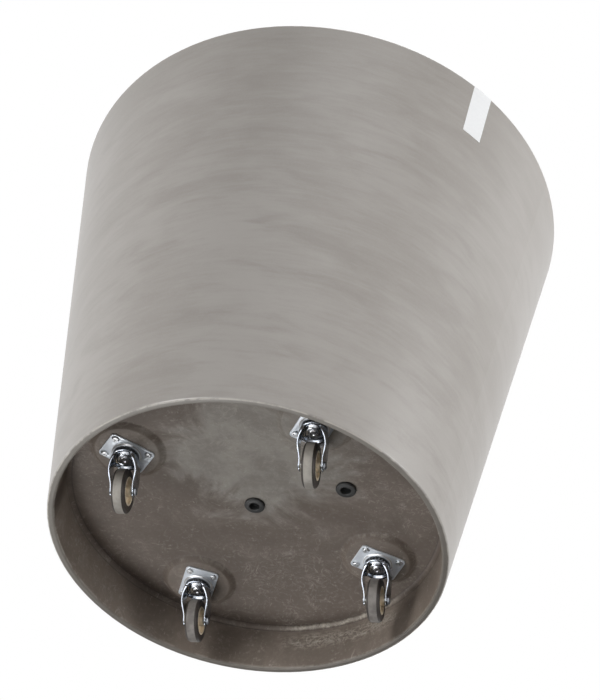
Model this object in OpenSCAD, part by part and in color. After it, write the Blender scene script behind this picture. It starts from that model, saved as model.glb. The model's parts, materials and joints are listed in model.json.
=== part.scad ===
// Rolling planter: a tapered round floor planter that stands on four swivel
// casters, which are screwed to round pads under its recessed floor.
// Millimetres, +Z up. The origin is on the pot's axis, on the floor that the
// wheels stand on.

/* [Pot] */
// Outer diameter at the top
top_d = 610; // [560:5:700]
// Outer diameter at the lower rim
base_d = 449; // [440:1:500]
// Height from the lower rim to the top
pot_h = 559; // [400:1:700]
// Thickness of the tapered wall
wall_t = 8; // [5:0.5:12]
// Thickness of the floor
floor_t = 8; // [6:0.5:12]
// Thickness of the skirt at the lower rim
skirt_t = 8.2; // [6:0.2:12]
// How far the skirt's inner wall draws in from the rim to the floor
skirt_draft = 1.8; // [0:0.1:4]
// Depth of the recess, from the lower rim up to the underside of the floor
recess_depth = 60; // [56:0.5:66]
// Rounding of the lower rim's two edges
rim_round = 2.5; // [1:0.1:3.5]
// Rounding where the skirt meets the underside of the floor
recess_round = 5; // [2:0.5:8]
// Rounding where the wall meets the planting floor
floor_round = 14; // [6:1:30]

/* [Top lip] */
// Width of the lip across the top
lip_w = 16; // [12:1:24]
// Height of the lip's inner face
lip_h = 18; // [10:1:30]
// Rounding of the lip's edges
lip_round = 3; // [1:0.5:4]

/* [Drain holes and plugs] */
// Diameter of each drain hole
drain_d = 16; // [10:0.5:18]
// Distance of the side hole from the pot's axis
side_drain_r = 111; // [60:1:130]
// Direction of the side hole round the axis
side_drain_az = -3; // [-15:1:15]
// Diameter of a plug's flange
flange_d = 23; // [20:0.5:28]
// Thickness of a plug's flange
flange_t = 3.5; // [2:0.25:5]
// Diameter of the hollow in a plug
plug_hollow_d = 11; // [4:0.5:12]
// Depth of the hollow in a plug
plug_hollow_depth = 7; // [2:0.5:8]
// How far a plug's stem stays below the planting floor
plug_sink = 0.5; // [0.2:0.1:2]
// Rounding of a plug's flange
flange_round = 1; // [0.4:0.1:1.6]
// Radial clearance of a plug in its hole
plug_gap = 0.05; // [0.02:0.01:0.1]

/* [Caster pads] */
// Distance of each caster's kingpin from the pot's axis
caster_r = 157; // [152:1:160]
// Diameter of a pad's flat face
pad_d = 73; // [66:1:76]
// Diameter of a pad where it meets the floor
pad_base_d = 87; // [80:1:92]
// Height of a pad below the floor
pad_h = 5.5; // [3:0.5:8]
// Rounding of a pad's edge and of its foot
pad_round = 1.6; // [0.5:0.1:2.5]
// How far each mounting plate is turned from the radial line
plate_turn = [-3, -12, 4, -2];
// Direction in which each fork trails at rest
fork_az = [101, 101, 103, 104];

/* [Mounting plate] */
// Length of the plate
plate_l = 54; // [50:1:58]
// Width of the plate
plate_w = 39; // [36:0.5:42]
// Thickness of the plate
plate_t = 2; // [1.5:0.1:2.5]
// Radius of the plate's corners
plate_corner = 5; // [2:0.5:7]
// Spacing of the slots along the plate
slot_dx = 41; // [39:0.5:42]
// Spacing of the slots across the plate
slot_dy = 28; // [27:0.5:29]
// Width of a slot
slot_w = 4.8; // [4.4:0.1:5.4]
// End-to-end length of a slot
slot_l = 8.6; // [5.5:0.1:9]

/* [Swivel head] */
// Outer diameter of the pressed race in the plate
race_d = 34; // [32:0.5:35]
// How far the race is pressed down from the plate
race_drop = 2.4; // [2:0.1:3]
// How far the race draws in on its way down
race_draft = 2; // [1.5:0.1:2.5]
// Rounding of the race's edge
race_round = 0.8; // [0.3:0.1:1.2]
// Diameter of a ball
ball_d = 3; // [2.6:0.1:3.2]
// Pitch radius of the upper ball ring
upper_ball_r = 12; // [11.2:0.1:12.6]
// Pitch radius of the lower ball ring
lower_ball_r = 8; // [7.6:0.1:8.2]
// Number of balls in the upper ring
upper_balls = 20; // [12:1:21]
// Number of balls in the lower ring
lower_balls = 12; // [8:1:13]
// Gap between the plates that the balls roll between
race_gap = 1.6; // [1.2:0.1:1.8]
// Clearance between a ball and its groove
ball_gap = 0.1; // [0.05:0.05:0.2]
// Diameter of the kingpin
kingpin_d = 8; // [6:0.5:9]
// Diameter of the kingpin's upper head, inside the pressed race
kingpin_head_d = 13.6; // [11:0.2:15]
// Height of the kingpin's upper head
kingpin_head_h = 1.8; // [1:0.1:1.9]
// Diameter of the kingpin's riveted head below the cup
rivet_d = 11; // [9.5:0.5:12]
// Height of the riveted head
rivet_h = 1.8; // [1:0.1:2]
// Diameter of the hollow that the riveting leaves
rivet_hollow_d = 5.4; // [3:0.2:6]
// Depth of that hollow
rivet_hollow_depth = 1.5; // [0.5:0.1:2.5]
// Rounding of the riveted head's outer edge
rivet_round = 1.4; // [0.5:0.1:1.6]
// Outer diameter of the lower race cup
cup_d = 21.6; // [21:0.2:23]
// Thickness of the cup
cup_t = 1.8; // [1.2:0.1:2]
// Rounding of the cup's lower edge
cup_round = 1.3; // [0.5:0.1:1.6]
// Gap between the cup's rim and the fork
cup_gap = 0.4; // [0.2:0.1:0.6]

/* [Fork] */
// Thickness of the fork's sheet
fork_t = 1.8; // [1.4:0.1:2]
// Diameter of the fork's crown
crown_d = 31; // [30:0.5:33]
// Outer width of the fork where it bulges
fork_w = 32; // [30:0.5:34]
// Radius of the bend from crown to leg, at mid sheet
bend_r = 5.3; // [4:0.1:6]
// Length of the straight stretch of a leg below the bend
bulge_l = 15.5; // [8:0.5:16]
// How far the straight foot of a leg reaches above the axle nut
foot_gap = 0.8; // [0.4:0.1:2]
// Gap between the legs at the axle
leg_gap = 22.8; // [20:0.2:23.2]
// Offset of the axle behind the kingpin
trail = 20.5; // [19:0.5:24]
// How far a leg reaches ahead of the kingpin
leg_front = 11.4; // [8:0.2:12]
// Height above the axle at which a leg's front edge starts to slant back
slant_h = 23.5; // [20:0.5:24]
// Rounding at the top of that edge
front_round = 2; // [1:0.5:2.5]
// Height of the drawn lip in front of the crown
front_lip_h = 3; // [2:0.2:3.6]
// How far a leg reaches behind the kingpin under the crown
leg_back = 12.5; // [10:0.5:13]
// How far below the bend a leg's rear edge starts to sweep back
leg_sweep = 8; // [5:0.5:12]
// Radius of a leg's end round the axle
leg_end_r = 7; // [6:0.5:8]
// Height of the stiffening lip behind the crown
crown_lip_h = 3.2; // [1:0.2:4]
// Angle that the stiffening lip spans
crown_lip_angle = 100; // [60:5:110]

/* [Wheel] */
// Diameter of the wheel
wheel_d = 50; // [44:1:50]
// Height of the plate's upper face above the floor
caster_h = 64; // [64:1:72]
// Width of the wheel at its side walls
wheel_w = 15; // [12:0.5:17]
// Width of the flat tread
tread_w = 10.4; // [8:0.2:11]
// Height of the rounded shoulder beside the tread
shoulder_h = 3.5; // [2:0.5:5]
// Fullness of the shoulder, from 0, a slope, to 1, a square corner
shoulder_full = 0.8; // [0.5:0.05:0.95]
// Diameter of the hub's rim, inside the tyre
hub_d = 32.4; // [28:0.2:36]
// Thickness of the hub's rim
hub_rim_t = 2.4; // [1.5:0.1:3]
// Thickness of the hub's web
web_t = 5; // [3:0.5:8]
// Diameter of the hub's boss
boss_d = 12.5; // [11:0.5:15]
// Side clearance between the boss and a leg
boss_gap = 0.6; // [0.3:0.1:1]
// Diameter of the sleeve that the wheel turns on
sleeve_d = 8; // [7:0.5:9]
// Radial running clearance of the wheel and of the swivel
run_gap = 0.06; // [0.03:0.01:0.1]

/* [Fasteners] */
// Diameter of the axle bolt
axle_d = 5; // [4:0.5:5.5]
// Diameter of the axle bolt's flat round head
bolt_head_d = 8.6; // [7:0.2:10]
// Height of the axle bolt's head
bolt_head_h = 1.4; // [1.2:0.1:2.5]
// Rounding of the axle bolt's head
bolt_head_round = 1.1; // [0.4:0.1:1.1]
// Width across flats of the axle nut
hex_af = 8; // [7:0.5:9]
// Height of the axle nut
hex_h = 2.6; // [2:0.1:4]
// Length of the bolt beyond the nut
bolt_end = 0.5; // [0.2:0.1:2]
// Diameter of a plate screw
screw_d = 4; // [3.4:0.1:4.2]
// Length of a plate screw under its head
screw_l = 12; // [8:0.5:13]
// Diameter of a plate screw's head
screw_head_d = 7.4; // [7:0.1:8]
// Height of a plate screw's head
screw_head_h = 2.2; // [1.8:0.1:2.6]
// Rounding of a plate screw's head
screw_round = 1; // [0.4:0.1:1.6]
// Length of the cross recess in a plate screw's head
cross_l = 3.8; // [2.5:0.1:4.5]
// Width of the cross recess
cross_w = 0.9; // [0.6:0.1:1.2]
// Depth of the cross recess
cross_depth = 1.3; // [0.8:0.1:1.8]
// Clearance of screws, kingpin and axle bolt in the pieces that they hold
hold_gap = 0.04; // [0.02:0.01:0.1]

/* [Hidden] */
$fn = 72;
casters = [1:4];
arc_steps = 5;

// Heights of the pot above the floor.
pad_z = caster_h;
floor_under_z = pad_z + pad_h;
rim_z = floor_under_z - recess_depth;
planting_z = floor_under_z + floor_t;
top_z = rim_z + pot_h;

// Radii of the pot's tapered wall, outside and inside, at a height.
taper = atan((top_d - base_d) / 2 / pot_h);
wall_across = wall_t / cos(taper);
function outer_r(z) = base_d / 2 + (z - rim_z) * tan(taper);
function inner_r(z) = outer_r(z) - wall_across;

// Heights in a caster, measured down from the plate's upper face.
race_z = -plate_t - race_drop;
crown_z = race_z - race_gap;
crown_under_z = crown_z - fork_t;
cup_z = crown_under_z - race_gap;
cup_under_z = cup_z - cup_t;
upper_ball_z = (race_z + crown_z) / 2;
lower_ball_z = (crown_under_z + cup_z) / 2;
axle_z = wheel_d / 2 - caster_h;
groove_r = ball_d / 2 + ball_gap;

// Places across a fork, from the wheel's middle plane.
leg_face = leg_gap / 2 + fork_t;
bulge_mid = (fork_w - fork_t) / 2;
foot_mid = (leg_gap + fork_t) / 2;
bend_end_z = crown_under_z + fork_t / 2 - bend_r;
bulge_end_z = bend_end_z - bulge_l;
hex_r = hex_af / 2 / cos(30);
foot_start_z = axle_z + max(hex_r, bolt_head_d / 2) + foot_gap;
hub_r = hub_d / 2;
zinc = "#c9cdd0";

// Points of an arc round [x, y], from angle a to angle b.
function arc(x, y, r, a, b) =
    [for (k = [0:arc_steps]) let (t = a + (b - a) * k / arc_steps) [x, y] + r * [cos(t), sin(t)]];

// Points of a quadratic curve from a to c, drawn towards b.
function curve(a, b, c) =
    [for (k = [0:arc_steps]) let (s = k / arc_steps) pow(1 - s, 2) * a + 2 * s * (1 - s) * b + s * s * c];

// Points that round the corner b between a and c, starting that far away from it.
function eased(a, b, c, by) =
    curve(b + by * (a - b) / norm(a - b), b, b + by * (c - b) / norm(c - b));

// The unit normal of a path's stretch from point a to point b.
function stretch_normal(a, b) = let (d = (b - a) / norm(b - a)) [-d[1], d[0]];

// A path moved sideways by a distance, with true corners.
function moved_path(path, by) = let (last = len(path) - 1) [for (k = [0:last])
    let (
        before = stretch_normal(path[max(k - 1, 0)], path[max(k, 1)]),
        after = stretch_normal(path[min(k, last - 1)], path[min(k + 1, last)])
    )
    path[k] + (before + after) * by / (1 + before * after)];

function reversed(list) = [for (k = [len(list) - 1:-1:0]) list[k]];

// A sheet of thickness t along a path, as a flat outline.
module sheet(path, t) {
    polygon(concat(moved_path(path, t / 2), reversed(moved_path(path, -t / 2))));
}

module ring_groove(r, z) {
    translate([0, 0, z]) rotate_extrude() translate([r, 0]) circle(r = groove_r);
}

module ball_ring(r, z, count) {
    for (k = [0:count - 1]) rotate([0, 0, 360 * k / count]) translate([r, 0, z]) sphere(d = ball_d);
}

// Places what is drawn at the plate's upper face, with +X outwards.
module at_caster(i) {
    rotate([0, 0, 90 * i - 45]) translate([caster_r, 0, caster_h]) children();
}

// The same place, turned with the mounting plate.
module on_plate(i) {
    at_caster(i) rotate([0, 0, plate_turn[i - 1]]) children();
}

// The same place, turned so that +X is the way the fork trails.
module on_fork(i) {
    at_caster(i) rotate([0, 0, fork_az[i - 1] - (90 * i - 45)]) children();
}

// On the axle, with +Z along it towards the nut.
module on_axle(i) {
    on_fork(i) translate([trail, 0, axle_z]) rotate([90, 0, 0]) children();
}

module at_screws() {
    for (x = [-1, 1], y = [-1, 1]) translate([x * slot_dx / 2, y * slot_dy / 2, 0]) children();
}

module slot_outline() {
    square([slot_l - slot_w, slot_w], center = true);
    for (s = [-1, 1]) translate([s * (slot_l - slot_w) / 2, 0]) circle(d = slot_w);
}

module pot_profile() {
    recess_r = base_d / 2 - skirt_t - skirt_draft;
    rim_in_r = base_d / 2 - skirt_t;
    lip_in_r = top_d / 2 - lip_w;
    lip_under_z = top_z - lip_h;
    lip_slope_z = lip_under_z - (inner_r(lip_under_z) - lip_in_r);
    polygon(concat(
        arc(base_d / 2 - rim_round, rim_z + rim_round, rim_round, -90, 0),
        arc(top_d / 2 - lip_round, top_z - lip_round, lip_round, 0, 90),
        arc(lip_in_r + lip_round, top_z - lip_round, lip_round, 90, 180),
        [[lip_in_r, lip_under_z], [inner_r(lip_slope_z), lip_slope_z]],
        curve(
            [inner_r(planting_z + floor_round), planting_z + floor_round],
            [inner_r(planting_z), planting_z],
            [inner_r(planting_z) - floor_round, planting_z]
        ),
        [[0, planting_z], [0, floor_under_z]],
        arc(recess_r - recess_round, floor_under_z - recess_round, recess_round, 90, 0),
        arc(rim_in_r + rim_round, rim_z + rim_round, rim_round, 180, 270)
    ));
}

module drain_hole() {
    translate([0, 0, floor_under_z - 1]) cylinder(d = drain_d, h = floor_t + 2);
}

module at_side_drain() {
    rotate([0, 0, side_drain_az]) translate([side_drain_r, 0, 0]) children();
}

module pad() {
    edge = [pad_d / 2, 0];
    foot = [pad_base_d / 2, pad_h];
    rotate_extrude() polygon(concat(
        [[0, 0]],
        eased([0, 0], edge, foot, pad_round),
        eased(edge, foot, foot + [1, 0], pad_round),
        [foot + [pad_round, floor_t / 2], [0, pad_h + floor_t / 2]]
    ));
}

module pot_shell() {
    color("#a39d97") difference() {
        union() {
            rotate_extrude() pot_profile();
            for (i = casters) at_caster(i) pad();
        }
        for (i = casters) on_plate(i) at_screws()
            translate([0, 0, -1]) cylinder(r = screw_d / 2 + hold_gap, h = screw_l - plate_t + 1.5);
        drain_hole();
        at_side_drain() drain_hole();
    }
}

module drain_plug() {
    edge = [flange_d / 2, -flange_t];
    seat = [flange_d / 2, 0];
    translate([0, 0, floor_under_z]) color("#26241f") difference() {
        union() {
            rotate_extrude() polygon(concat(
                [[0, -flange_t]],
                eased([0, -flange_t], edge, seat, flange_round),
                [seat, [0, 0]]
            ));
            cylinder(r = drain_d / 2 - plug_gap, h = floor_t - plug_sink);
        }
        translate([0, 0, -flange_t - 1]) cylinder(d = plug_hollow_d, h = plug_hollow_depth + 1);
    }
}

module plate_screw() {
    edge = [screw_head_d / 2, 0];
    under = [screw_head_d / 2, screw_head_h];
    translate([0, 0, -plate_t - screw_head_h]) difference() {
        union() {
            rotate_extrude() polygon(concat(
                [[0, 0]],
                eased([0, 0], edge, under, screw_round),
                [under, [0, screw_head_h]]
            ));
            cylinder(d = screw_d, h = screw_l + screw_head_h);
        }
        for (a = [0, 90]) rotate([0, 0, a]) cube([cross_l, cross_w, 2 * cross_depth], center = true);
    }
}

module plate_screws() {
    color(zinc) for (i = casters) on_plate(i) at_screws() plate_screw();
}

module plate_blank() {
    translate([0, 0, -plate_t]) linear_extrude(plate_t) difference() {
        union() {
            square([plate_l - 2 * plate_corner, plate_w], center = true);
            square([plate_l, plate_w - 2 * plate_corner], center = true);
            for (x = [-1, 1], y = [-1, 1])
                translate([x * (plate_l / 2 - plate_corner), y * (plate_w / 2 - plate_corner)])
                    circle(r = plate_corner);
        }
        circle(r = race_d / 2 - plate_t);
        at_screws() slot_outline();
    }
}

module pressed_race() {
    bore = [kingpin_d / 2 + hold_gap, race_z];
    edge = [race_d / 2 - race_draft, race_z];
    shoulder = [race_d / 2, -plate_t];
    rotate_extrude() polygon(concat(
        [bore],
        eased(bore, edge, shoulder, race_round),
        [
            shoulder,
            shoulder + [0, plate_t / 2],
            shoulder + [-plate_t, plate_t / 2],
            edge + [-plate_t, plate_t],
            bore + [0, plate_t]
        ]
    ));
}

module caster_plate(i) {
    on_plate(i) color(zinc) difference() {
        union() {
            plate_blank();
            pressed_race();
        }
        ring_groove(upper_ball_r, upper_ball_z);
    }
}

module kingpin(i) {
    head_z = race_z + plate_t;
    rivet_under_z = cup_under_z - rivet_h;
    rim = [rivet_d / 2, cup_under_z];
    edge = [rivet_d / 2, rivet_under_z];
    lip = [rivet_hollow_d / 2, rivet_under_z];
    hollow = [rivet_hollow_d / 4, rivet_under_z + rivet_hollow_depth];
    on_plate(i) color("#8f9396") rotate_extrude() polygon(concat(
        [
            [0, head_z + kingpin_head_h],
            [kingpin_head_d / 2, head_z + kingpin_head_h],
            [kingpin_head_d / 2, head_z],
            [kingpin_d / 2, head_z],
            [kingpin_d / 2, cup_under_z],
            rim
        ],
        eased(rim, edge, lip, rivet_round),
        eased(edge, lip, hollow, rivet_round / 3),
        [hollow, [0, hollow[1]]]
    ));
}

module race_cup(i) {
    bore = [kingpin_d / 2 + hold_gap, cup_under_z];
    edge = [cup_d / 2, cup_under_z];
    rim = [cup_d / 2, crown_under_z - cup_gap];
    on_plate(i) color(zinc) difference() {
        rotate_extrude() polygon(concat(
            [bore],
            eased(bore, edge, rim, cup_round),
            [rim, [bore[0], rim[1]]]
        ));
        translate([0, 0, cup_z]) cylinder(r = lower_ball_r + groove_r, h = race_gap);
        ring_groove(lower_ball_r, lower_ball_z);
    }
}

module upper_ball_ring(i) {
    on_fork(i) color("#a9adb0") ball_ring(upper_ball_r, upper_ball_z, upper_balls);
}

module lower_ball_ring(i) {
    on_fork(i) color("#a9adb0") ball_ring(lower_ball_r, lower_ball_z, lower_balls);
}

// Half of the fork's section across the wheel, from a foot up to the crown.
function fork_half(side) = concat(
    [[side * foot_mid, axle_z - leg_end_r - 1]],
    [for (k = [0:arc_steps]) let (s = k / arc_steps, lean = s * s * (3 - 2 * s)) [
        side * (foot_mid + (bulge_mid - foot_mid) * lean),
        foot_start_z + (bulge_end_z - foot_start_z) * s
    ]],
    [for (p = arc(bulge_mid - bend_r, bend_end_z, bend_r, 0, 90)) [side * p[0], p[1]]]
);

// The fork's sheet: straight behind the kingpin, and drawn round it in front.
module fork_sheet() {
    rotate([90, 0, 90]) linear_extrude(trail + leg_end_r + 10)
        sheet(concat(fork_half(-1), reversed(fork_half(1))), fork_t);
    rotate([0, 0, 90]) rotate_extrude(angle = 180)
        sheet(concat(fork_half(1), [[0, bend_end_z + bend_r]]), fork_t);
}

// The outline of the fork from the side, with its front lip and slanted front edge.
module leg_outline() {
    front_end = [trail, axle_z] + leg_end_r * [cos(230), sin(230)];
    back_end = [trail, axle_z] + leg_end_r * [cos(10), sin(10)];
    lip_z = crown_under_z - front_lip_h;
    corner = [-leg_front, axle_z + slant_h];
    polygon(concat(
        [[-fork_w / 2 - 1, crown_z + 1], [-fork_w / 2 - 1, lip_z]],
        curve([-leg_front - front_round, lip_z], [-leg_front, lip_z], [-leg_front, lip_z - front_round]),
        curve(corner + [0, front_round], corner, corner + (front_end - corner) / 4),
        [front_end, [trail, axle_z]],
        curve(back_end, [back_end[0] - leg_end_r * 0.8, bend_end_z - leg_sweep], [leg_back, bend_end_z]),
        [[leg_back, crown_z + 1]]
    ));
    translate([trail, axle_z]) circle(r = leg_end_r);
}

// The crown behind the kingpin, with its stiffening lip.
module crown() {
    rotate([0, 0, -90]) rotate_extrude(angle = 180)
        translate([0, crown_under_z]) square([crown_d / 2, fork_t]);
    rotate([0, 0, -crown_lip_angle / 2]) rotate_extrude(angle = crown_lip_angle)
        translate([crown_d / 2 - fork_t, crown_under_z - crown_lip_h]) square([fork_t, crown_lip_h + fork_t / 2]);
}

module fork(i) {
    on_fork(i) color(zinc) difference() {
        union() {
            intersection() {
                fork_sheet();
                rotate([90, 0, 0]) translate([0, 0, -fork_w]) linear_extrude(2 * fork_w) leg_outline();
            }
            crown();
        }
        translate([0, 0, crown_under_z - 1]) cylinder(r = kingpin_d / 2 + run_gap, h = fork_t + 2);
        ring_groove(upper_ball_r, upper_ball_z);
        ring_groove(lower_ball_r, lower_ball_z);
        translate([trail, 0, axle_z]) rotate([90, 0, 0])
            cylinder(r = axle_d / 2 + hold_gap, h = 2 * fork_w, center = true);
    }
}

module axle_sleeve(i) {
    on_axle(i) color("#9da1a4") difference() {
        cylinder(d = sleeve_d, h = leg_gap, center = true);
        cylinder(r = axle_d / 2 + hold_gap, h = leg_gap + 2, center = true);
    }
}

module axle_bolt(i) {
    edge = [bolt_head_d / 2, 0];
    under = [bolt_head_d / 2, bolt_head_h];
    on_axle(i) color(zinc) {
        translate([0, 0, -leg_face]) cylinder(d = axle_d, h = 2 * leg_face + hex_h + bolt_end);
        translate([0, 0, -leg_face - bolt_head_h]) rotate_extrude() polygon(concat(
            [[0, 0]],
            eased([0, 0], edge, under, bolt_head_round),
            [under, [0, bolt_head_h]]
        ));
    }
}

module axle_nut(i) {
    on_axle(i) translate([0, 0, leg_face]) color(zinc) difference() {
        cylinder(r = hex_r, h = hex_h, $fn = 6);
        translate([0, 0, -1]) cylinder(r = axle_d / 2 + hold_gap, h = hex_h + 2);
    }
}

module wheel_hub(i) {
    on_axle(i) color("#c2a883") rotate_extrude() difference() {
        union() {
            translate([hub_r - hub_rim_t, -wheel_w / 2]) square([hub_rim_t, wheel_w]);
            translate([0, -web_t / 2]) square([hub_r - hub_rim_t / 2, web_t]);
            translate([0, boss_gap - leg_gap / 2]) square([boss_d / 2, leg_gap - 2 * boss_gap]);
        }
        translate([0, -leg_gap]) square([sleeve_d / 2 + run_gap, 2 * leg_gap]);
    }
}

module tyre(i) {
    shoulder = (wheel_w - tread_w) / 2;
    bulge = [wheel_d, wheel_w] / 2 - [shoulder_h, shoulder] * (1 - shoulder_full);
    on_axle(i) color("#6f6d6b") rotate_extrude() polygon(concat(
        [[hub_r, wheel_w / 2], [hub_r, -wheel_w / 2]],
        curve(
            [wheel_d / 2 - shoulder_h, -wheel_w / 2],
            [bulge[0], -bulge[1]],
            [wheel_d / 2, -tread_w / 2]
        ),
        curve(
            [wheel_d / 2, tread_w / 2],
            bulge,
            [wheel_d / 2 - shoulder_h, wheel_w / 2]
        )
    ));
}

pot_shell();
drain_plug();  // drain_plug_centre
at_side_drain() drain_plug();  // drain_plug_side
plate_screws();
for (i = casters) {
    caster_plate(i);
    kingpin(i);
    race_cup(i);
    upper_ball_ring(i);
    lower_ball_ring(i);
    fork(i);
    axle_sleeve(i);
    axle_bolt(i);
    axle_nut(i);
    wheel_hub(i);
    tyre(i);
}
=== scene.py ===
# %% [markdown]
# # A rolling planter, seen from below
# A tapered pot of matt, stone-like plastic stands on four small swivel casters
# that are screwed to round pads under its recessed floor. This lesson dresses
# the measured model of that planter: it loads the model, models the pieces
# whose surface tells most anew, gives every piece a finish made of nodes,
# and sets the camera and the studio lights.
#
# Blender's unit is the metre. Sizes of small pieces are written in millimetres
# and multiplied by `mm`. The four wheels stand on z = 0, and +Z is the pot's
# axis.

# %% Load the measured model
import json
import math

import bmesh
import bpy
from mathutils import Matrix, Vector


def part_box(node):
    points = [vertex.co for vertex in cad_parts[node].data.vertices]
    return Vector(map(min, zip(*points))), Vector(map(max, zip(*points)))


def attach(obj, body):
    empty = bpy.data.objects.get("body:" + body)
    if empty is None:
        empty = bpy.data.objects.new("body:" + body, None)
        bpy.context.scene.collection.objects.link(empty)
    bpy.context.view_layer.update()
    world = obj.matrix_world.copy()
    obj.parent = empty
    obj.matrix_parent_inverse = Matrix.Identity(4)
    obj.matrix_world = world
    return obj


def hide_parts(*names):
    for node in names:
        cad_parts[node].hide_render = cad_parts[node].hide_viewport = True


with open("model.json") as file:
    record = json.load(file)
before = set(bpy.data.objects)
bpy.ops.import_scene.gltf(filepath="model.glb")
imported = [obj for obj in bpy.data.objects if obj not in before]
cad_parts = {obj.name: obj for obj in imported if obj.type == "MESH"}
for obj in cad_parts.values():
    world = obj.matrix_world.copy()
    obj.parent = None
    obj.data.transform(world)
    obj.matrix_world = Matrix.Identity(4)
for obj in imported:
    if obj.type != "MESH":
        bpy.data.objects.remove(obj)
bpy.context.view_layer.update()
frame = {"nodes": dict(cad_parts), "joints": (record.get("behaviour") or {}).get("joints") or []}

scene = bpy.context.scene
nodes = frame["nodes"]
joints = {joint["child"]: joint for joint in frame["joints"]}
casters = (1, 2, 3, 4)
mm = 0.001

# %% [markdown]
# ## The camera
# The picture looks up at the planter's underside from a good two metres away,
# so the camera hangs below the floor plane. Its place and its three axes were
# worked out from the two rims. A long lens keeps the pot's sides nearly
# parallel, as they are in the picture.

# %% Set up the camera
camera_place = Vector((0.8418, -1.5480, -1.4955))
picture_right = Vector((0.9336, 0.3269, 0.1464))
picture_down = Vector((-0.1454, 0.7195, -0.6790))
looking = Vector((-0.3274, 0.6126, 0.7193))

lens = bpy.data.cameras.new("camera")
lens.lens = 107.63
lens.sensor_width = 36
lens.clip_start, lens.clip_end = 0.1, 50
camera = bpy.data.objects.new("camera", lens)
scene.collection.objects.link(camera)
aim = Matrix((picture_right, -picture_down, -looking)).transposed().to_4x4()
camera.matrix_world = Matrix.Translation(camera_place) @ aim
scene.camera = camera
scene.view_settings.view_transform = "Standard"
print("camera:", [round(v, 3) for v in camera.location])


# %% [markdown]
# ## Sums in place of cables
# A finish is a net of nodes. Drawing it as sums keeps it readable: a Wire
# wraps the output of a node, and its operators add Math nodes. Any other node
# comes from the one method of a Net, which serves the room as well. A Finish
# is the net of a material.

# %% Shader sums
class Wire:
    """The output of a node, ready for sums with numbers and other wires."""

    def __init__(self, tree, socket):
        self.tree, self.socket = tree, socket

    def maths(self, operation, *terms):
        node = self.tree.nodes.new("ShaderNodeMath")
        node.operation = operation
        for socket, term in zip(node.inputs, terms):
            feed(self.tree, socket, term)
        return Wire(self.tree, node.outputs[0])

    def __add__(self, other):
        return self.maths("ADD", self, other)

    def __sub__(self, other):
        return self.maths("SUBTRACT", self, other)

    def __mul__(self, other):
        return self.maths("MULTIPLY", self, other)

    def __rsub__(self, other):
        return self.maths("SUBTRACT", other, self)

    def __pow__(self, other):
        return self.maths("POWER", self, other)

    __radd__ = __add__
    __rmul__ = __mul__

    def band(self, low, high):
        """0 below low, 1 above high, and smooth between."""
        node = self.tree.nodes.new("ShaderNodeMapRange")
        node.interpolation_type = "SMOOTHSTEP"
        for name, value in (("Value", self), ("From Min", low), ("From Max", high)):
            feed(self.tree, node.inputs[name], value)
        return Wire(self.tree, node.outputs[0])


def feed(tree, socket, value):
    """Sets a socket to a number, colour or place, or links a wire to it."""
    if isinstance(value, Wire):
        tree.links.new(value.socket, socket)
    elif socket.type == "RGBA":
        socket.default_value = (*value, 1)
    else:
        socket.default_value = value


class Net:
    """A tree of nodes."""

    def __init__(self, tree):
        self.tree = tree

    def node(self, kind, settings=None, out=0, **values):
        """Makes a node. A value named _2 goes to socket 2, any other to the socket of its name."""
        made = self.tree.nodes.new(kind)
        for name, value in (settings or {}).items():
            setattr(made, name, value)
        for name, value in values.items():
            key = int(name[1:]) if name[0] == "_" else name.replace("_", " ")
            feed(self.tree, made.inputs[key], value)
        return Wire(self.tree, made.outputs[out])

    def parts(self, place):
        """The three coordinates of a place."""
        split = self.node("ShaderNodeSeparateXYZ", Vector=place).socket.node
        return [Wire(self.tree, out) for out in split.outputs]


class Finish(Net):
    """A material under way. Its constants sit on the shader itself."""

    def __init__(self, name, **constants):
        self.material = bpy.data.materials.new(name)
        self.material.use_nodes = True
        super().__init__(self.material.node_tree)
        self.shader = self.tree.nodes["Principled BSDF"]
        self.set(**constants)
        self.place = self.node("ShaderNodeTexCoord", out="Object")

    def set(self, **values):
        for name, value in values.items():
            feed(self.tree, self.shader.inputs[name.replace("_", " ")], value)

    def stretch(self, x, y, z):
        return self.node("ShaderNodeMapping", Vector=self.place, Scale=(x, y, z))

    def noise(self, scale, detail=4.0, rough=0.55, place=None, twist=0.0):
        return self.node("ShaderNodeTexNoise", Vector=place or self.place, Scale=scale,
                         Detail=detail, Roughness=rough, Distortion=twist)

    def mix(self, share, low, high):
        """A colour between low and high."""
        return self.node("ShaderNodeMix", {"data_type": "RGBA"}, out=2,
                         _0=share, _6=low, _7=high)

    def bump(self, height, depth, strength):
        self.set(Normal=self.node("ShaderNodeBump", Height=height, Distance=depth,
                                  Strength=strength))
        return self


print("a wire can be added, subtracted, multiplied and raised to a power")

# %% [markdown]
# ## Modelling by turning an outline
# Hubs, tyres, cups, rivets and plugs are turned shapes. Each starts as a wire
# outline of radius and height. `bevel` rounds its corners while it is still a
# wire, which is far easier than to round the finished solid, and `spin` turns
# it into a body. Round corners matter: on plated steel nearly all the light
# that the eye sees comes from them.

# %% Turn an outline into a body
sharp_angle = math.radians(35)
outline_gap = 0.001 * mm


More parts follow.
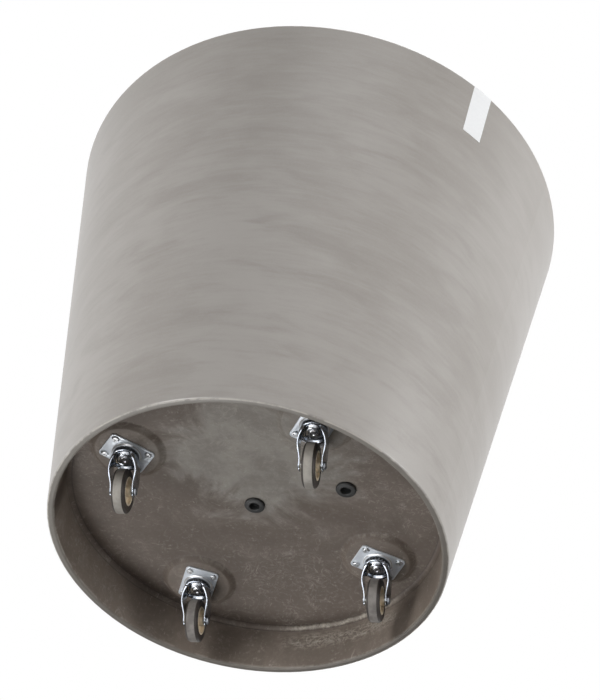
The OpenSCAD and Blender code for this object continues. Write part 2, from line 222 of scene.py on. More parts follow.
def turned(outline, steps, closed=False):
    """Spins (radius, height, rounding) points, in millimetres, round the Z axis."""
    body = bmesh.new()
    corners = [body.verts.new((r * mm, 0, h * mm)) for r, h, _ in outline]
    for a, b in zip(corners, corners[1:]):
        body.edges.new((a, b))
    if closed:
        body.edges.new((corners[-1], corners[0]))
    for rounding in sorted({by for _, _, by in outline} - {0}):
        bmesh.ops.bevel(body, geom=[v for v, (_, _, by) in zip(corners, outline) if by == rounding],
                        offset=rounding * mm, affect="VERTICES", segments=5, profile=0.5, material=-1)
    bmesh.ops.spin(body, geom=body.verts[:] + body.edges[:], cent=(0, 0, 0), axis=(0, 0, 1),
                   angle=math.tau, steps=steps, use_merge=True)
    bmesh.ops.remove_doubles(body, verts=body.verts, dist=outline_gap)
    bmesh.ops.recalc_face_normals(body, faces=body.faces)
    return body


def piece(name, body, rides, finishes, stands_for=(), place=Matrix()):
    """Makes a bmesh a piece of the planter, with its place in its mesh."""
    body.transform(place)
    mesh = bpy.data.meshes.new(name)
    body.to_mesh(mesh)
    body.free()
    for finish in finishes:
        mesh.materials.append(finish)
    mesh.polygons.foreach_set("use_smooth", [True] * len(mesh.polygons))
    mesh.set_sharp_from_angle(angle=sharp_angle)
    made = bpy.data.objects.new(name, mesh)
    scene.collection.objects.link(made)
    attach(made, rides)
    if stands_for:
        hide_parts(*stands_for)


def kingpin(i):
    """Where the upright axis that caster i swivels about meets the floor."""
    return Vector((*joints[f"swivel_{i}"]["pos_m"][:2], 0))


def at_kingpin(i):
    return Matrix.Translation(kingpin(i))


def on_axle(i):
    """Turns +Z along the axle of wheel i, towards its nut."""
    joint = joints[f"wheel_{i}"]
    lie = Vector((0, 0, 1)).rotation_difference(Vector(joint["axis"])).to_matrix().to_4x4()
    return Matrix.Translation(Vector(joint["pos_m"])) @ lie


print("casters at", [tuple(round(v, 3) for v in kingpin(i)[:2]) for i in casters])


# %% [markdown]
# ## Softening a measured piece
# The forks, plates and nuts have the right shape, but their edges are knife
# sharp, and a knife-sharp edge never catches light. So each is copied, its loose
# triangles are merged to flat faces, and its sharp edges are bevelled. The
# copy stands in for the measured piece.

# %% Round the sharp edges of a copy
mesh_gap = 0.002 * mm
flat_angle = math.radians(0.5)


def merged(node):
    """A copy of a measured node, with its triangles merged to flat faces."""
    body = bmesh.new()
    body.from_mesh(nodes[node].data)
    bmesh.ops.remove_doubles(body, verts=body.verts, dist=mesh_gap)
    bmesh.ops.dissolve_limit(body, angle_limit=flat_angle, verts=body.verts, edges=body.edges)
    return body


def softened(body, rounding, segments, picks=lambda edge: True):
    """Rounds the sharp edges that are picked, in millimetres."""
    sharp = [edge for edge in body.edges
             if len(edge.link_faces) == 2 and edge.calc_face_angle() > sharp_angle and picks(edge)]
    bmesh.ops.bevel(body, geom=sharp, offset=rounding * mm, affect="EDGES", segments=segments,
                    profile=0.5, material=-1, clamp_overlap=False)
    return body


def behind(i):
    """The level direction from kingpin i to its wheel's axle."""
    return (Vector(joints[f"wheel_{i}"]["pos_m"]) - kingpin(i)).xy.to_3d().normalized()


def beyond(i, radius, ahead=math.inf):
    """Picks edges that lie farther than a radius from kingpin i, or well ahead of it."""
    def picks(edge):
        outs = [corner.co - kingpin(i) for corner in edge.verts]
        return (all(out.xy.length > radius * mm for out in outs)
                or all(out.dot(behind(i)) < -ahead * mm for out in outs))
    return picks


print("a fork to soften has", len(nodes["fork_1"].data.polygons), "loose triangles")

# %% [markdown]
# ## The pot's plastic
# The pot is moulded in one piece, but it has two faces to show. Its outer wall
# is coated and brushed round and round, to look like cast stone, so there the
# noise is squeezed in height: wide, flat streaks, with slow clouds over them
# and fine grain under both. Under the floor the plastic is bare: browner,
# darker, and covered in chalky rubs and hair scratches. Both go into one
# material, and a mask by place tells them apart: how deep a point lies behind
# the tapered outer wall, and whether it is below the planting floor.

# %% Tone of the brushed outer wall
stone_dark, stone_light = (0.306, 0.284, 0.262), (0.358, 0.336, 0.315)
smear_grey, painted_top_shade_grey = (0.24, 0.22, 0.2), (0.24, 0.222, 0.2)
painted_side_light_grey, grain_grey = (0.44, 0.42, 0.4), (0.4, 0.38, 0.36)


def brushed_wall(pot, along, height):
    """Colour, roughness and relief of the coated outer wall, with painted shade at its top on the -Y
    side and painted light at mid height away from the -Y side.
    """
    strokes = pot.noise(1.0, 6.0, 0.65, pot.stretch(24, 24, 230))
    smears = pot.noise(1.0, 4.0, 0.55, pot.stretch(11, 11, 42), twist=0.6)
    clouds = pot.noise(6.0, 4.0, 0.55)
    grain = pot.noise(420.0, 3.0, 0.6)
    tone = 0.22 * strokes + 0.36 * smears + 0.42 * clouds
    shade = pot.mix(tone.band(0.4, 0.6), stone_dark, stone_light)
    shade = pot.mix(smears.band(0.44, 0.3) * 0.18, shade, smear_grey)
    # painted shade: the top of the wall on the -Y side is darkened, as the light falls there
    painted_top_shade = height.band(0.46, 0.57) * (0.28 - 0.28 * along.band(-0.2, -0.06))
    shade = pot.mix(painted_top_shade, shade, painted_top_shade_grey)
    # painted light: the wall is lightened at mid height away from the -Y side
    painted_side_light = 0.3 * along.band(-0.2, -0.04) * height.band(0.2, 0.38)
    shade = pot.mix(painted_side_light, shade, painted_side_light_grey)
    colour = pot.mix(grain.band(0.3, 0.8) * 0.15, shade, grain_grey)
    return colour, 0.28 + 0.12 * tone, 0.7 * grain + 0.3 * strokes


print("brushed wall: from", stone_dark, "to", stone_light)

# %% [markdown]
# The bare side has a history. Near its middle, where it was dragged and rubbed,
# it is worn grey, and the rest is brown. Chalk gathers where noise is high, on
# the pads' edges, and in the corner of the recess on the +Y side, where a thin
# painted highlight runs with it along the corner's rounding. Scratches are
# short ticks: a noise drawn out long and thin in three directions, with only
# its peaks kept.

# %% Marks of wear
recess_r, recess_roof = 0.2145, 0.0695
corner_inset = 0.0015
chalk_height, chalk_reach = 0.048, 0.017
pin_offset = 0.111


def near(value, target, reach):
    """1 where a value is at its target, falling to 0 at a distance."""
    gap = value - target
    return gap.maths("ABSOLUTE", gap).band(reach, 0)


def length(a, b):
    """The distance that two offsets make."""
    return (a * a + b * b) ** 0.5


def from_kingpin(across, along):
    """The level distance from the nearest of the four kingpins."""
    return length(across.maths("ABSOLUTE", across) - pin_offset,
                  along.maths("ABSOLUTE", along) - pin_offset)


def scored(pot, turn, limit):
    """Short straight scratches that all run one way."""
    place = pot.node("ShaderNodeMapping", {"vector_type": "TEXTURE"}, Vector=pot.place,
                     Rotation=(0, 0, turn), Scale=(0.016, 0.0022, 0.016))
    spread = pot.noise(17.0 + turn, 3.0, 0.6)
    lines = pot.noise(1.0, 3.0, 0.6, place, twist=0.8)
    return lines.band(0.66, 0.76) * spread.band(limit, limit + 0.12)


def corner_chalk_and_highlight(pot, radius, across, along, height):
    """Chalk along the corner on the +Y side, with a thin painted highlight along the corner's rounding,
    and a scribble on the skirt below it.
    """
    angle = along.maths("ARCTAN2", along, across)
    on_side = angle.band(0.95, 1.15) * angle.band(1.85, 1.6)
    patchy = pot.noise(130.0, 5.0, 0.75)
    drawn = pot.noise(1.0, 5.0, 0.7, pot.stretch(45, 45, 260), twist=0.5)
    corner = length(radius - recess_r + corner_inset, height - recess_roof + corner_inset)
    # the thin light line along the corner's rounding is partly chalk and partly a painted highlight
    edge = 0.5 * corner.band(0.0025, 0.001) + 0.75 * corner.band(0.0065, 0.001) * patchy.band(0.45, 0.6)
    curls = near(pot.noise(75.0, 4.0, 0.65, twist=0.8), 0.5, 0.06)
    rubbed = near(height, chalk_height, chalk_reach) * radius.band(0.211, 0.212)
    return on_side * (edge + rubbed * (0.7 * drawn.band(0.5, 0.64) + 0.6 * curls))


print("recess:", recess_r, "m in radius, roof at", recess_roof, "m")

# %% Tone of the bare underside
floor_brown, floor_brown_light = (0.146, 0.115, 0.093), (0.2, 0.162, 0.135)
far_brown = (0.1, 0.078, 0.063)
skirt_brown, skirt_brown_light = (0.17, 0.138, 0.113), (0.24, 0.198, 0.165)
worn_grey, worn_grey_light = (0.245, 0.222, 0.195), (0.33, 0.305, 0.272)
chalk_colour, dust_colour = (0.46, 0.42, 0.37), (0.45, 0.42, 0.37)
scratch_colour, chalk_and_highlight_colour = (0.5, 0.46, 0.41), (0.62, 0.57, 0.49)
groove_brown = (0.06, 0.05, 0.045)
corner_round, groove_width = 0.005, 0.0012
pad_edge_r = 0.0415
scratch_runs = ((0.5, 0.38), (-0.9, 0.4), (1.4, 0.42))
worn_x, worn_y = 0.02, -0.07


def bare_underside(pot, radius, across, along, height):
    """Colour, roughness and relief of the uncoated plastic under the floor."""
    patches = pot.noise(10.0, 6.0, 0.65, twist=0.6)
    rubs = pot.noise(40.0, 8.0, 0.78, twist=1.2)
    specks = pot.noise(240.0, 4.0, 0.7)
    mottled = pot.noise(26.0, 7.0, 0.68)
    cloud = patches.band(0.35, 0.68)
    brown = pot.mix(cloud, floor_brown, floor_brown_light)
    brown = pot.mix(along.band(0.0, 0.12) * 0.4, brown, far_brown)
    skirt = height.band(0.068, 0.063)
    brown = pot.mix(skirt, brown, pot.mix(cloud, skirt_brown, skirt_brown_light))
    grey = pot.mix(mottled.band(0.38, 0.62), worn_grey, worn_grey_light)
    worn = (length(across - worn_x, along - worn_y) + 0.3 * (0.5 - patches)).band(0.12, 0.065)
    shade = pot.mix(worn, brown, grey)
    pad_edge = near(from_kingpin(across, along), pad_edge_r, 0.004) * rubs.band(0.45, 0.6)
    chalk = rubs.band(0.5, 0.72) * (0.25 + 0.45 * worn + 0.3 * cloud) + 0.5 * pad_edge
    shade = pot.mix(chalk * 0.5, shade, chalk_colour)
    dusted = specks.band(0.53, 0.7) * (0.12 + 0.3 * mottled.band(0.45, 0.6))
    shade = pot.mix(dusted, shade, dust_colour)
    curls = near(pot.noise(48.0, 3.0, 0.6, twist=1.0), 0.52, 0.025) * patches.band(0.5, 0.6)
    scratches = sum((scored(pot, turn, limit) for turn, limit in scratch_runs), 0.45 * curls)
    shade = pot.mix(scratches * 0.5, shade, scratch_colour)
    # chalk, a scribble, and a painted highlight along the +Y corner
    chalk_and_highlight = corner_chalk_and_highlight(pot, radius, across, along, height)
    shade = pot.mix(chalk_and_highlight * 0.7, shade, chalk_and_highlight_colour)
    floor_groove = near(radius, recess_r - corner_round, groove_width) * height.band(0.0685, 0.0692)
    skirt_groove = near(height, recess_roof - corner_round, groove_width) * radius.band(0.2125, 0.2135)
    grooves = floor_groove + skirt_groove
    shade = pot.mix(grooves * 0.5, shade, groove_brown)
    return shade, 0.5 + 0.15 * rubs, 0.5 * rubs + 0.3 * specks - 0.8 * grooves


print("bare underside: scratches in", len(scratch_runs), "directions")

# %% The pot's finish
measured_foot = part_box("pot_shell")[0].z
wall_foot_r, wall_slope = 0.2245, 0.144
painted_foot_shade, painted_foot_shade_light = (0.135, 0.118, 0.1), (0.2, 0.182, 0.16)
painted_foot_lit, painted_foot_lit_light = (0.22, 0.2, 0.175), (0.31, 0.29, 0.26)
edge_colour = (0.56, 0.53, 0.48)


def wall_reach(height):
    """The radius of the outer wall at a height, which may be a number or a wire."""
    return wall_foot_r + (height - measured_foot) * wall_slope


def worn_foot(pot, colour, along, depth, height):
    """The foot's face, where the coating is scuffed off, painted darker on the +Y side as shade and
    lighter on the -Y side as light, and its two worn edges, with a painted highlight that makes them
    brighter on the -Y side.
    """
    face = height.band(0.0125, 0.0104) * depth.band(0.001, 0.0022)
    rubbed = pot.noise(60.0, 4.0, 0.65)
    # painted shade and light: the foot's face is darker on the +Y side and lighter on the -Y side
    side = along.band(0.14, -0.14)
    shaded_foot_face = pot.mix(rubbed, painted_foot_shade, painted_foot_shade_light)
    pale = pot.mix(rubbed, painted_foot_lit, painted_foot_lit_light)
    colour = pot.mix(face * 0.9, colour, pot.mix(side, shaded_foot_face, pale))
    edges = near(depth, 0.0014, 0.0011) + near(depth, 0.0087, 0.0011)
    # worn edges, made brighter on the -Y side as a painted highlight
    edges = edges * height.band(0.0145, 0.0115) * rubbed.band(0.4, 0.55) * (0.25 + 0.6 * side)
    return pot.mix(edges, colour, edge_colour)


def planter_plastic():
    pot = Finish("planter plastic", IOR=1.5)
    across, along, height = pot.parts(pot.place)
    radius = length(across, along)
    depth = wall_reach(height) - radius
    under = depth.band(0.0057, 0.0067) * height.band(0.0757, 0.0747)
    wall_colour, wall_rough, wall_relief = brushed_wall(pot, along, height)
    bare_colour, bare_rough, bare_relief = bare_underside(pot, radius, across, along, height)
    colour = pot.mix(under, wall_colour, bare_colour)
    pot.set(Base_Color=worn_foot(pot, colour, along, depth, height),
            Roughness=wall_rough + under * (bare_rough - wall_rough))
    return pot.bump(wall_relief + under * (bare_relief - wall_relief), 0.0003, 0.35).material


pot_finish = planter_plastic()
print(pot_finish.name, len(pot_finish.node_tree.nodes), "nodes")


# %% [markdown]
# ## Plated steel
# The steel is zinc plated: bright and a little blue, with a fine crystal
# grain. The mounting plates are dull, while the forks and cups are rolled
# and pressed smooth, and mirror the studio. Round the race the plates carry
# painted shade, for the gap under the fork's crown, and beside it a ring of
# painted highlight, for the race's edge, which is also smoother and more metallic.

# %% Plated steel
plate_dark, plate_light = (0.64, 0.69, 0.74), (0.9, 0.94, 1.0)
race_highlight_white, gap_shade_colour = (1.0, 1.0, 1.0), (0.13, 0.14, 0.155)


def plated(name, colour, rough, spangle):
    """Smooth plated steel. The spangle is how much the colour varies either way."""
    steel = Finish(name, Metallic=1.0)
    crystals = steel.noise(260.0, 3.0, 0.6)
    smears = steel.noise(55.0, 3.0, 0.5, steel.stretch(1, 1, 0.4))
    dim = tuple(v * (1 - 2 * spangle) for v in colour)
    steel.set(Base_Color=steel.mix(0.6 * crystals + 0.4 * smears, dim, colour),
              Roughness=rough + 0.05 * (smears + crystals - 1))
    return steel.bump(crystals, 0.00003, 0.25).material


def plate_zinc():
    plate = Finish("plate zinc")
    across, along, _ = plate.parts(plate.place)
    from_pin = from_kingpin(across, along)
    crystals = plate.noise(420.0, 3.0, 0.6)
    smears = plate.noise(60.0, 4.0, 0.6)
    # painted shade round the race, where the gap under the fork's crown is dark
    gap_shade = from_pin.band(0.0152, 0.0142)
    ring = near(from_pin, 0.0163, 0.0011)
    zinc = plate.mix(0.4 * crystals + 0.6 * smears, plate_dark, plate_light)
    # a painted highlight on the race's edge, on a ring that is also smoother and more metallic
    zinc = plate.mix(ring, zinc, race_highlight_white)
    plate.set(Base_Color=plate.mix(gap_shade * 0.85, zinc, gap_shade_colour),
              Metallic=0.12 + 0.2 * smears + 0.3 * ring, Roughness=0.34 - 0.12 * ring)
    return plate.bump(crystals, 0.00003, 0.3).material


plate_finish = plate_zinc()
fork_finish = plated("fork zinc", (0.52, 0.56, 0.62), 0.2, 0.06)
cup_finish = plated("cup zinc", (0.7, 0.73, 0.78), 0.26, 0.06)
pin_finish = plated("kingpin steel", (0.82, 0.83, 0.85), 0.26, 0.08)
# painted shade: the balls are near black, so that the race gap reads as shade
ball_shade_finish = plated("ball steel in painted shade", (0.12, 0.12, 0.125), 0.3, 0.02)
sleeve_finish = plated("sleeve steel", (0.6, 0.6, 0.6), 0.3, 0.08)
screw_finish = plated("screw zinc", (0.8, 0.81, 0.82), 0.3, 0.1)
nut_finish = plated("nut zinc", (0.26, 0.27, 0.29), 0.42, 0.06)
print("plated steel: a finish for plates and seven more")


# %% [markdown]
# ## Rubber and plastic of the wheels
# The tread has worn to a light warm grey, while the side walls kept their
# dark brown. The tyre's faces carry one finish or the other, so each can be
# a plain function of place. The two wheels of the +Y side get a darker
# tread, which is painted shade.

# %% Wheels, plugs and label
tread_lit, tread_lit_light = (0.27, 0.252, 0.225), (0.46, 0.43, 0.385)
tread_shaded, tread_shaded_light = (0.12, 0.108, 0.1), (0.29, 0.27, 0.25)
side_dark, side_light = (0.032, 0.026, 0.023), (0.062, 0.052, 0.045)
plug_dark, plug_light = (0.014, 0.015, 0.016), (0.06, 0.06, 0.058)
hub_dark, hub_light = (0.88, 0.72, 0.5), (0.98, 0.88, 0.7)
paper_dark, paper_light = (0.78, 0.79, 0.8), (0.88, 0.885, 0.89)


def rubber(name, dark, light, grain):
    skin = Finish(name, Roughness=0.5, IOR=1.5)
    specks = skin.noise(grain, 4.0, 0.65)
    dust = skin.noise(70.0, 4.0, 0.6)
    skin.set(Base_Color=skin.mix(0.5 * specks + 0.5 * dust.band(0.35, 0.7), dark, light))
    return skin.bump(specks, 0.0001, 0.4).material


def worn_tread():
    tread = Finish("worn tread", Roughness=0.62, IOR=1.5)
    specks = tread.noise(300.0, 4.0, 0.65)
    dust = tread.noise(60.0, 4.0, 0.6)
    _, along, _ = tread.parts(tread.place)
    tone = 0.4 * specks + 0.6 * dust.band(0.35, 0.65)
    lit_tread = tread.mix(tone, tread_lit, tread_lit_light)
    shaded_tread = tread.mix(tone, tread_shaded, tread_shaded_light)
    # painted shade: the treads of the two wheels on the +Y side are darker
    tread.set(Base_Color=tread.mix(along.band(-0.03, 0.03), lit_tread, shaded_tread))
    return tread.bump(specks, 0.0001, 0.4).material


def hub_plastic():
    hub = Finish("hub plastic", Roughness=0.36, IOR=1.5)
    hub.set(Base_Color=hub.mix(hub.noise(90.0, 3.0, 0.5), hub_dark, hub_light))
    return hub.bump(hub.noise(500.0), 0.00004, 0.3).material


def label_paper():
    paper = Finish("bare label", Roughness=0.4, IOR=1.45)
    paper.set(Base_Color=paper.mix(paper.noise(260.0, 5.0, 0.7), paper_dark, paper_light))
    return paper.bump(paper.noise(25.0), 0.0004, 0.3).material


tread_finish = worn_tread()
side_finish = rubber("tyre side wall", side_dark, side_light, 300.0)
plug_finish = rubber("plug rubber", plug_dark, plug_light, 160.0)
hub_finish = hub_plastic()
label_finish = label_paper()
print("wheels, plugs and label: 5 finishes")


# %% [markdown]
# ## Wheels
# A hub is a rim and a boss joined by a thin web, turned in one outline: only
# its half is written, and the other half is the same with the signs of the
# heights changed. The tyre round it is domed a little, and a fine step marks
# the edge of the worn tread.

# %% Hubs and tyres
def both_sides(half):
    """A half outline, from height 0 up and back to it, and its mirror below."""
    return half + [(r, -h, by) for r, h, by in half[-2:0:-1]]


hub_outline = both_sides([(4.06, 0, 0), (4.06, 10.2, 0.3), (6.25, 10.2, 0.7), (6.5, 2.5, 1.6),
                          (13.6, 2.5, 1.6), (13.9, 7.5, 0.5), (16.2, 7.5, 0.3), (16.2, 0, 0)])
tyre_outline = both_sides([(16.2, 0, 0), (16.2, 7.2, 0), (17.2, 7.4, 0), (22.6, 7.5, 1.5),
                           (24.5, 5.7, 1.2), (24.7, 4.75, 0), (24.95, 4.6, 0.15), (25, 0, 0)])
tread_half, tread_from = 4.65, 24.0
for i in casters:
    piece(f"turned_hub_{i}", turned(hub_outline, 72, closed=True), f"wheel_{i}",
          [hub_finish], [f"wheel_hub_{i}"], on_axle(i))
    tyre = turned(tyre_outline, 128, closed=True)
    for face in tyre.faces:
        middle = face.calc_center_median()
        if abs(middle.z) < tread_half * mm and middle.xy.length > tread_from * mm:
            face.material_index = 1
    piece(f"turned_tyre_{i}", tyre, f"wheel_{i}", [side_finish, tread_finish],
          [f"tyre_{i}"], on_axle(i))
print("hub outline:", len(hub_outline), "points; tyre outline:", len(tyre_outline))

# %% [markdown]
# ## Swivel heads
# Seen from below, a swivel head is a polished cup with a riveted pin in its
# middle. The rivet was rolled over with a hollow punch, so it is a ring with
# a dark centre.

# %% Cups and kingpins
cup_low, cup_high = (corner.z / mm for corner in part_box("race_cup_1"))
pin_low, pin_high = (corner.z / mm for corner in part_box("kingpin_1"))
pin_r, cup_hole_r = 4.0, 4.04
cup_outline = [(cup_hole_r, cup_low, 0), (8.1, cup_low, 0.8), (10.8, cup_high - 0.4, 0.4),
               (10.8, cup_high, 0.2), (9.6, cup_high, 0.2), (9.3, cup_high - 1.2, 0.4),
               (cup_hole_r, cup_high - 1.2, 0)]
pin_outline = [(0, pin_low + 1.1, 0), (1.3, pin_low + 1.3, 0.4), (2.5, pin_low, 0.6),
               (5.5, pin_low, 1.4), (5.5, cup_low, 0), (pin_r, cup_low, 0),
               (pin_r, pin_high - 1.8, 0), (6.8, pin_high - 1.8, 0.3), (6.8, pin_high, 0.3),
               (0, pin_high, 0)]
for i in casters:
    piece(f"pressed_cup_{i}", turned(cup_outline, 72, closed=True), "pot", [cup_finish],
          [f"race_cup_{i}"], at_kingpin(i))
    piece(f"riveted_kingpin_{i}", turned(pin_outline, 72), "pot", [pin_finish],
          [f"kingpin_{i}"], at_kingpin(i))
print("cup from", round(cup_low, 2), "to", round(cup_high, 2), "mm")

# %% [markdown]
# ## Forks, plates, bolts and nuts
# These keep their measured place and size and get round edges. A fork's legs are
# sheared from sheet and tumbled, which leaves their edges almost fully round:
# each shows as one bright line. The measured legs step in sharply above the
# axle, where real sheet bends slowly, so a leg is cut across at many heights
# and the cuts are slid sideways until the step is a long, easy curve.
#
# The lip behind the kingpin is flared a little, so that it mirrors the studio
# in front: it is the bright crescent under each cup.

# %% Ease the legs of a fork
foot_half, bulge_half = 12.3, 15.1
step_low, step_high = 30.4, 36.3
ease_low, ease_high = 24, 38
cut_gap = 0.01
lip_top, lip_foot, lip_flare = 56.0, 53.0, 2.0
lip_half, lip_from = 13.0, 7.0
lip_fold = 0.5


def lean(z, low, high):
    """How far the leg's middle has moved out at a height, in millimetres."""
    share = min(max((z - low) / (high - low), 0), 1)
    return (bulge_half - foot_half) * share * share * (3 - 2 * share)


def eased_fork(i):
    """A copy of a measured fork, with slow bends in its legs and a flared lip."""
    fork = merged(f"fork_{i}")
    for cut in range(ease_low - 1, ease_high + 2):
        bmesh.ops.bisect_plane(fork, geom=fork.verts[:] + fork.edges[:] + fork.faces[:],
                               plane_co=(0, 0, cut * mm), plane_no=(0, 0, 1), dist=cut_gap * mm)
    across = Vector(joints[f"wheel_{i}"]["axis"])
    for point in fork.verts:
        z = point.co.z / mm
        if ease_low < z < ease_high:
            side = math.copysign(1, (point.co - kingpin(i)).dot(across))
            more = lean(z, ease_low, ease_high) - lean(z, step_low, step_high)
            bmesh.ops.translate(fork, verts=[point], vec=across * side * more * mm)
        out = point.co - kingpin(i)
        in_width, in_depth = abs(out.dot(across)) < lip_half * mm, out.dot(behind(i)) > lip_from * mm
        if lip_foot - lip_fold < z < lip_top and in_width and in_depth:
            flare = lip_flare * (lip_top - z) / (lip_top - lip_foot)
            bmesh.ops.translate(fork, verts=[point], vec=out.xy.to_3d().normalized() * flare * mm)
    return fork


print("step eased from", round(step_high - step_low, 1), "to", ease_high - ease_low, "mm")

# %% Soft edges
fork_free_r, fork_front, plate_race_r = 12.9, 10.9, 16.0
fork_round, plate_round, nut_round = 0.7, 0.45, 0.35
for i in casters:
    fork = softened(eased_fork(i), fork_round, 4, beyond(i, fork_free_r, fork_front))
    piece(f"soft_fork_{i}", fork, f"swivel_{i}", [fork_finish], [f"fork_{i}"])
    plate = softened(merged(f"caster_plate_{i}"), plate_round, 3, beyond(i, plate_race_r))
    piece(f"soft_plate_{i}", plate, "pot", [plate_finish], [f"caster_plate_{i}"])
    nut = softened(merged(f"axle_nut_{i}"), nut_round, 3)
    piece(f"soft_nut_{i}", nut, f"swivel_{i}", [nut_finish], [f"axle_nut_{i}"])
print("softened:", 3 * len(casters), "pieces")

# %% [markdown]
# ## Drain plugs
# Each plug is soft rubber with a rolled flange and a hollow for the mould's
# core. They are seen as a black ring round a darker hole.

# %% Plugs
plug_outline = [(0, 73.0, 0), (5.0, 73.0, 0.8), (5.5, 66.6, 0.7), (6.4, 66.0, 0.5), (8.4, 66.3, 0.8),
                (11.5, 66.4, 1.4), (11.5, 69.5, 0.3), (7.95, 69.5, 0), (7.95, 77.0, 0.5), (0, 77.0, 0)]
for name in ("centre", "side"):
    low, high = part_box(f"drain_plug_{name}")
    place = Matrix.Translation(Vector(((low.x + high.x) / 2, (low.y + high.y) / 2, 0)))
    piece(f"rubber_plug_{name}", turned(plug_outline, 64), f"plug_{name}", [plug_finish],
          [f"drain_plug_{name}"], place)
    print(name, "plug at", [round(v, 4) for v in place.translation[:2]])


# %% [markdown]
# ## A bare label
# A blank white sticker hangs from the top edge. It starts as a flat grid, which
# is wrapped on the tapered wall by turning each point's width into an angle,
# and is given the thickness of paper.

# %% The label
label_angles = math.radians(-32.05), math.radians(-26.75)
label_heights = 0.491, 0.5665
label_lift, label_thick = 0.0005, 0.0007


def bare_label():
    sheet = bmesh.new()
    bmesh.ops.create_grid(sheet, x_segments=12, y_segments=10, size=0.5)
    for point in sheet.verts:
        share_x, share_y = point.co.x + 0.5, point.co.y + 0.5
        angle = label_angles[0] + share_x * (label_angles[1] - label_angles[0])
        height = label_heights[0] + share_y * (label_heights[1] - label_heights[0])
        reach = wall_reach(height) + label_lift
        point.co = reach * math.cos(angle), reach * math.sin(angle), height
    bmesh.ops.recalc_face_normals(sheet, faces=sheet.faces)
    bmesh.ops.solidify(sheet, geom=sheet.faces[:], thickness=-label_thick)
    return sheet


piece("bare_label", bare_label(), "pot", [label_finish])
print("label:", round((label_heights[1] - label_heights[0]) / mm), "mm tall")

# %% [markdown]
# ## The measured pieces that stay
# The pot, the screws, the balls, the sleeves and the bolts have the right shape
# as they are. They keep their meshes and only get their finishes.

# %% Dress the measured nodes
dress = {"plate_screws": screw_finish, "pot_shell": pot_finish}
for i in casters:
    dress.update({f"upper_balls_{i}": ball_shade_finish, f"lower_balls_{i}": ball_shade_finish,
                  f"axle_sleeve_{i}": sleeve_finish, f"axle_bolt_{i}": nut_finish})
for name, finish in dress.items():
    slots = nodes[name].data.materials
    slots.clear()
    slots.append(finish)
print("dressed", len(dress), "of", len(nodes))

# %% [markdown]
# ## The studio
# A white room with soft boxes. The camera sees plain white. Shiny metal has
# to see the same room, but with darkness below, because that is what gives
# the steel its contrast. Only the camera sees the floor, and only from above:
# there it is pale and keeps the shadow. Metal doesn't see it, so that the
# polished faces that look down mirror the dark, as they do in a studio, and
# one bright strip in front draws the lines along their edges. The lamp over
# the pot reaches the floor and the pot's inside, as the wall leans away.

# %% The room's light
ambient, darkness, ceiling, strip_power = 0.04, 0.03, 0.95, 3.0
world = bpy.data.worlds.new("white room")
scene.world = world
world.use_nodes = True
room = Net(world.node_tree)
direction = room.node("ShaderNodeTexCoord", out="Generated")
east, north, up = room.parts(direction)
path = room.node("ShaderNodeLightPath").socket.node
seen, mirrored, through = (Wire(room.tree, path.outputs[f"Is {ray} Ray"])
                           for ray in ("Camera", "Glossy", "Transmission"))
strip = (east * -0.2 + north * -0.92 + up * -0.34).band(0.8, 0.93)
gloss = darkness + ceiling * up.band(-0.25, -0.05) + strip_power * strip
white = seen.maths("MAXIMUM", seen, through)
level = white + (1 - white) * (mirrored * gloss + (1 - mirrored) * ambient)
background = room.tree.nodes["Background"]
feed(room.tree, background.inputs["Color"], (1, 1, 1))
feed(room.tree, background.inputs["Strength"], level)
print("room:", len(room.tree.nodes), "nodes")

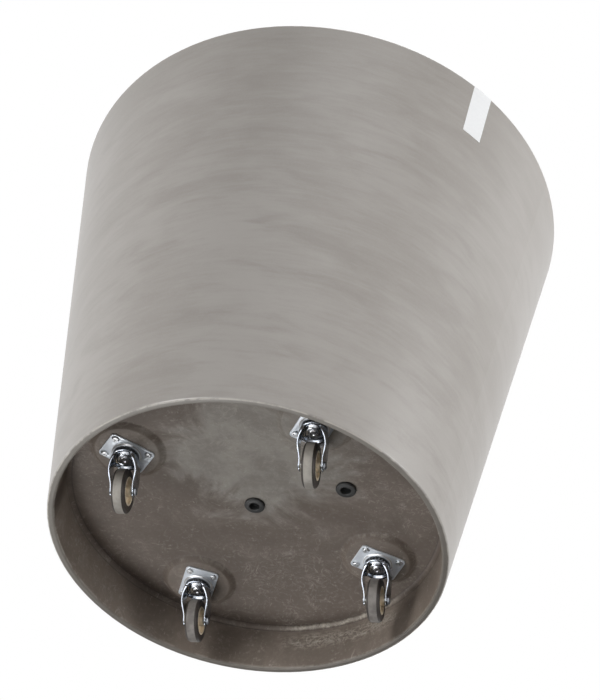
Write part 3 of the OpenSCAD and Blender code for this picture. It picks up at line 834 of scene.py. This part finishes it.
# %% The floor
floor_radius = 6
black, floor_glow = (0, 0, 0), (0.45, 0.45, 0.45)
floor_grey, floor_grey_light = (0.78, 0.78, 0.78), (0.82, 0.82, 0.82)
floor_mesh = bmesh.new()
bmesh.ops.create_circle(floor_mesh, cap_ends=True, radius=floor_radius, segments=64)
floor_data = bpy.data.meshes.new("studio floor")
floor_mesh.to_mesh(floor_data)
floor_mesh.free()
floor = bpy.data.objects.new("studio_floor", floor_data)
scene.collection.objects.link(floor)
pale = Finish("pale floor", Roughness=0.8, Emission_Strength=1.0)
straight = pale.node("ShaderNodeLightPath", out="Is Camera Ray")
pale.set(Base_Color=pale.mix(pale.noise(3.0), floor_grey, floor_grey_light),
         Emission_Color=pale.mix(straight, black, floor_glow))
below = pale.node("ShaderNodeNewGeometry", out="Backfacing")
choice = pale.node("ShaderNodeMixShader", _0=below.maths("MAXIMUM", below, 1 - straight),
                   _1=Wire(pale.tree, pale.shader.outputs[0]),
                   _2=pale.node("ShaderNodeBsdfTransparent"))
feed(pale.tree, pale.tree.nodes["Material Output"].inputs["Surface"], choice)
floor_data.materials.append(pale.material)
print("floor faces up:", floor_data.polygons[0].normal.z > 0)

# %% [markdown]
# The lamps are soft boxes that all look at the pot's middle. The wall takes most
# of its light from the right, and the steel takes its lines from the small boxes
# in front and below.

# %% Lights
pot_middle = Vector((0, 0, 0.28))


def softbox(name, towards, distance, width, height, power):
    """A rectangular lamp in a direction from the pot's middle, which it looks at."""
    lamp = bpy.data.lights.new(name, "AREA")
    lamp.shape, lamp.size, lamp.size_y, lamp.energy = "RECTANGLE", width, height, power
    box = bpy.data.objects.new(name, lamp)
    scene.collection.objects.link(box)
    back = Vector(towards).normalized()
    box.location = pot_middle + back * distance
    box.rotation_euler = back.to_track_quat("Z", "Y").to_euler()


softbox("strip in front", (-0.31, -0.92, -0.23), 2.6, 0.8, 0.8, 35)
softbox("lower left box", (-0.6, -0.4, -0.69), 2.8, 1.0, 1.0, 9)
softbox("left box", (-1.0, -0.25, 0.05), 2.8, 1.2, 1.8, 22)
softbox("right box", (1.0, 0.05, 0.0), 2.8, 1.2, 1.8, 74)
softbox("low box", (-0.35, 0.25, -0.9), 2.6, 1.0, 1.0, 23)
softbox("camera box", (0.33, -0.61, -0.72), 3.0, 1.4, 1.4, 6)
softbox("top box", (0.32, -0.61, 0.72), 2.8, 1.6, 1.6, 8)
softbox("back box", (-0.1, 1.0, 0.15), 2.8, 1.2, 1.2, 26)
softbox("ceiling box", (0.0, 0.0, 1.0), 2.8, 1.2, 1.2, 25)
